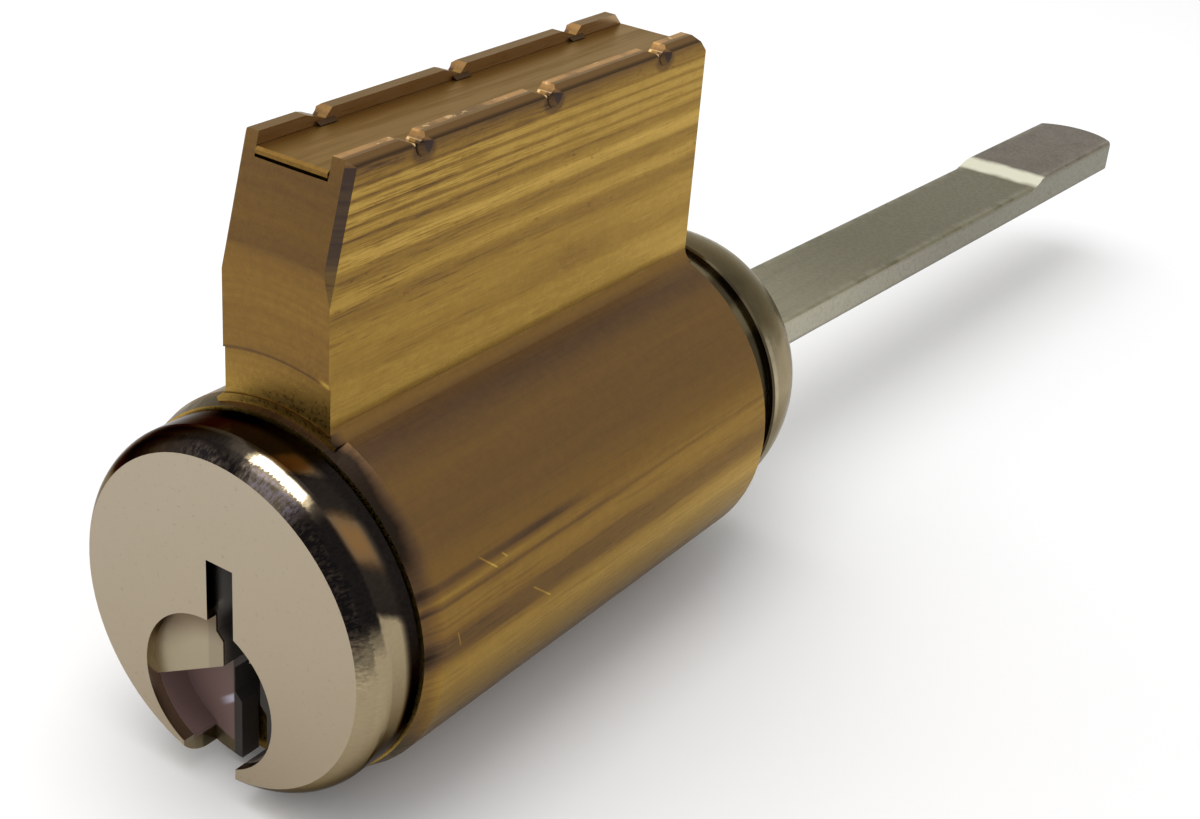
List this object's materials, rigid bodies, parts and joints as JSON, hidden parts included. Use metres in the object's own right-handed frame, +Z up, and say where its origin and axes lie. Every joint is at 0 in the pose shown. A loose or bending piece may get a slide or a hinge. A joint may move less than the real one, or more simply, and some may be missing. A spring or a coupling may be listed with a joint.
{
  "type": "deadbolt cylinder",
  "caption": "Pin tumbler deadbolt cylinder: nickel plated plug in a brass body with pin housing, screw-on tail cap and long flat tailpiece.",
  "frame": {"origin": "on the plug's axis, in the plane of the plug's front face", "axes": "+Y along the axis from the keyhole to the tailpiece, +Z up through the pin housing, +X to the right as seen from the key side"},
  "size_m": [0.0188, 0.0968, 0.0307],
  "materials": {
    "body_brass": "drawn brass, streaked and dull",
    "cover_brass": "rolled brass strip",
    "plug_nickel": "satin nickel plate over brass, polished rim",
    "cap_nickel": "bright nickel plate over brass",
    "tail_steel": "plated steel bar, dull with a yellowish cast",
    "pin_brass": "turned",
    "pin_nickel": "turned nickel silver",
    "spring_bronze": "bronze wire",
    "spring_steel": "steel wire"
  },
  "bodies": {
    "housing": {"housing": "body_brass", "chamber_cover": "cover_brass", "driver_spring_1": "spring_bronze", "driver_spring_2": "spring_bronze", "driver_spring_3": "spring_bronze", "driver_spring_4": "spring_bronze", "driver_spring_5": "spring_bronze", "driver_spring_6": "spring_bronze"},
    "plug": {"plug": "plug_nickel", "tail_cap": "cap_nickel", "tailpiece": "tail_steel", "cap_spring": "spring_steel"},
    "cap_pin": {"cap_pin": "pin_brass"},
    "bottom_pin_1": {"bottom_pin_1": "pin_brass"},
    "driver_pin_1": {"driver_pin_1": "pin_nickel"},
    "bottom_pin_2": {"bottom_pin_2": "pin_brass"},
    "driver_pin_2": {"driver_pin_2": "pin_nickel"},
    "bottom_pin_3": {"bottom_pin_3": "pin_brass"},
    "driver_pin_3": {"driver_pin_3": "pin_nickel"},
    "bottom_pin_4": {"bottom_pin_4": "pin_brass"},
    "driver_pin_4": {"driver_pin_4": "pin_nickel"},
    "bottom_pin_5": {"bottom_pin_5": "pin_brass"},
    "driver_pin_5": {"driver_pin_5": "pin_nickel"},
    "bottom_pin_6": {"bottom_pin_6": "pin_brass"},
    "driver_pin_6": {"driver_pin_6": "pin_nickel"}
  },
  "joints": [
    {"name": "plug_turn", "type": "hinge", "parent": "housing", "child": "plug", "pos_m": [0, 0.018, 0], "axis": [0, 1, 0], "continuous": true},
    {"name": "bottom_pin_1_slide", "type": "slide", "parent": "plug", "child": "bottom_pin_1", "axis": [0, 0, 1], "range_m": [-0.00186, 0]},
    {"name": "bottom_pin_2_slide", "type": "slide", "parent": "plug", "child": "bottom_pin_2", "axis": [0, 0, 1], "range_m": [-0.0011, 0]},
    {"name": "bottom_pin_3_slide", "type": "slide", "parent": "plug", "child": "bottom_pin_3", "axis": [0, 0, 1], "range_m": [-0.00224, 0]},
    {"name": "bottom_pin_4_slide", "type": "slide", "parent": "plug", "child": "bottom_pin_4", "axis": [0, 0, 1], "range_m": [-0.00148, 0]},
    {"name": "bottom_pin_5_slide", "type": "slide", "parent": "plug", "child": "bottom_pin_5", "axis": [0, 0, 1], "range_m": [-0.00262, 0]},
    {"name": "bottom_pin_6_slide", "type": "slide", "parent": "plug", "child": "bottom_pin_6", "axis": [0, 0, 1], "range_m": [-0.00072, 0]},
    {"name": "driver_pin_1_slide", "type": "slide", "parent": "housing", "child": "driver_pin_1", "axis": [0, 0, 1], "range_m": [0, 0.0055], "stiffness_N_per_m": 35, "springref_m": -0.0005, "deforming": ["driver_spring_1"]},
    {"name": "driver_pin_2_slide", "type": "slide", "parent": "housing", "child": "driver_pin_2", "axis": [0, 0, 1], "range_m": [0, 0.0055], "stiffness_N_per_m": 35, "springref_m": -0.0005, "deforming": ["driver_spring_2"]},
    {"name": "driver_pin_3_slide", "type": "slide", "parent": "housing", "child": "driver_pin_3", "axis": [0, 0, 1], "range_m": [0, 0.0055], "stiffness_N_per_m": 35, "springref_m": -0.0005, "deforming": ["driver_spring_3"]},
    {"name": "driver_pin_4_slide", "type": "slide", "parent": "housing", "child": "driver_pin_4", "axis": [0, 0, 1], "range_m": [0, 0.0055], "stiffness_N_per_m": 35, "springref_m": -0.0005, "deforming": ["driver_spring_4"]},
    {"name": "driver_pin_5_slide", "type": "slide", "parent": "housing", "child": "driver_pin_5", "axis": [0, 0, 1], "range_m": [0, 0.0055], "stiffness_N_per_m": 35, "springref_m": -0.0005, "deforming": ["driver_spring_5"]},
    {"name": "driver_pin_6_slide", "type": "slide", "parent": "housing", "child": "driver_pin_6", "axis": [0, 0, 1], "range_m": [0, 0.0055], "stiffness_N_per_m": 35, "springref_m": -0.0005, "deforming": ["driver_spring_6"]},
    {"name": "cap_pin_press", "type": "slide", "parent": "plug", "child": "cap_pin", "axis": [0, -1, 0], "range_m": [0, 0.0009], "stiffness_N_per_m": 300, "deforming": ["cap_spring"]}
  ]
}
